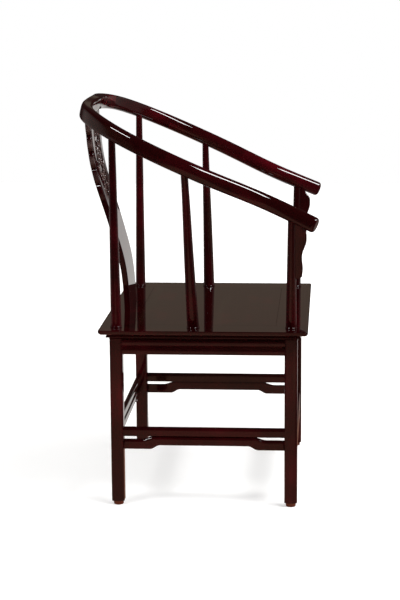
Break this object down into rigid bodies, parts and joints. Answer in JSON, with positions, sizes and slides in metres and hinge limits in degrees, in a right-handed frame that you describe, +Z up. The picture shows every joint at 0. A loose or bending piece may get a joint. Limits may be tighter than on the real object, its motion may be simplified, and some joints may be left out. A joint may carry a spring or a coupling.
{
  "type": "armchair",
  "caption": "Armchair with a continuous horseshoe-shaped top rail, curved back splat, framed panel seat, moulded aprons and stepped stretchers, in dark glossy lacquered wood.",
  "frame": {"origin": "on the floor, under the middle of the chair's overall size", "axes": "+Z up; -Y is the way the sitter faces; +X is the sitter's left"},
  "size_m": [0.7494, 0.5854, 0.9747],
  "materials": {
    "frame_lacquer": "gloss",
    "rail_lacquer": "gloss",
    "splat_lacquer": "gloss",
    "seat_lacquer": "gloss",
    "bare_hardwood": "matte",
    "pad_plastic": "matte",
    "nail_steel": "satin"
  },
  "bodies": {
    "root": {"apron_back": "frame_lacquer", "apron_front": "frame_lacquer", "apron_left": "frame_lacquer", "apron_right": "frame_lacquer", "arm_bracket_left": "frame_lacquer", "arm_bracket_right": "frame_lacquer", "arm_rail_left": "rail_lacquer", "arm_rail_right": "rail_lacquer", "back_splat": "splat_lacquer", "crest_rail": "rail_lacquer", "foot_nail_front_left": "nail_steel", "foot_nail_front_right": "nail_steel", "foot_nail_rear_left": "nail_steel", "foot_nail_rear_right": "nail_steel", "foot_pad_front_left": "pad_plastic", "foot_pad_front_right": "pad_plastic", "foot_pad_rear_left": "pad_plastic", "foot_pad_rear_right": "pad_plastic", "front_leg_post_left": "frame_lacquer", "front_leg_post_right": "frame_lacquer", "hump_stretcher_back": "frame_lacquer", "hump_stretcher_front": "frame_lacquer", "hump_stretcher_left": "frame_lacquer", "hump_stretcher_right": "frame_lacquer", "panel_batten_left": "bare_hardwood", "panel_batten_right": "bare_hardwood", "rear_leg_post_left": "frame_lacquer", "rear_leg_post_right": "frame_lacquer", "scarf_wedge_arm_left": "bare_hardwood", "scarf_wedge_arm_right": "bare_hardwood", "scarf_wedge_rear_left": "bare_hardwood", "scarf_wedge_rear_right": "bare_hardwood", "seat_panel": "seat_lacquer", "seat_rail_back": "seat_lacquer", "seat_rail_front": "seat_lacquer", "seat_rail_left": "seat_lacquer", "seat_rail_right": "seat_lacquer", "shoulder_rail_left": "rail_lacquer", "shoulder_rail_right": "rail_lacquer", "side_post_left": "frame_lacquer", "side_post_right": "frame_lacquer", "splat_flange_left": "splat_lacquer", "splat_flange_right": "splat_lacquer", "stretcher_back": "frame_lacquer", "stretcher_front": "frame_lacquer", "stretcher_left": "frame_lacquer", "stretcher_right": "frame_lacquer"}
  },
  "joints": []
}
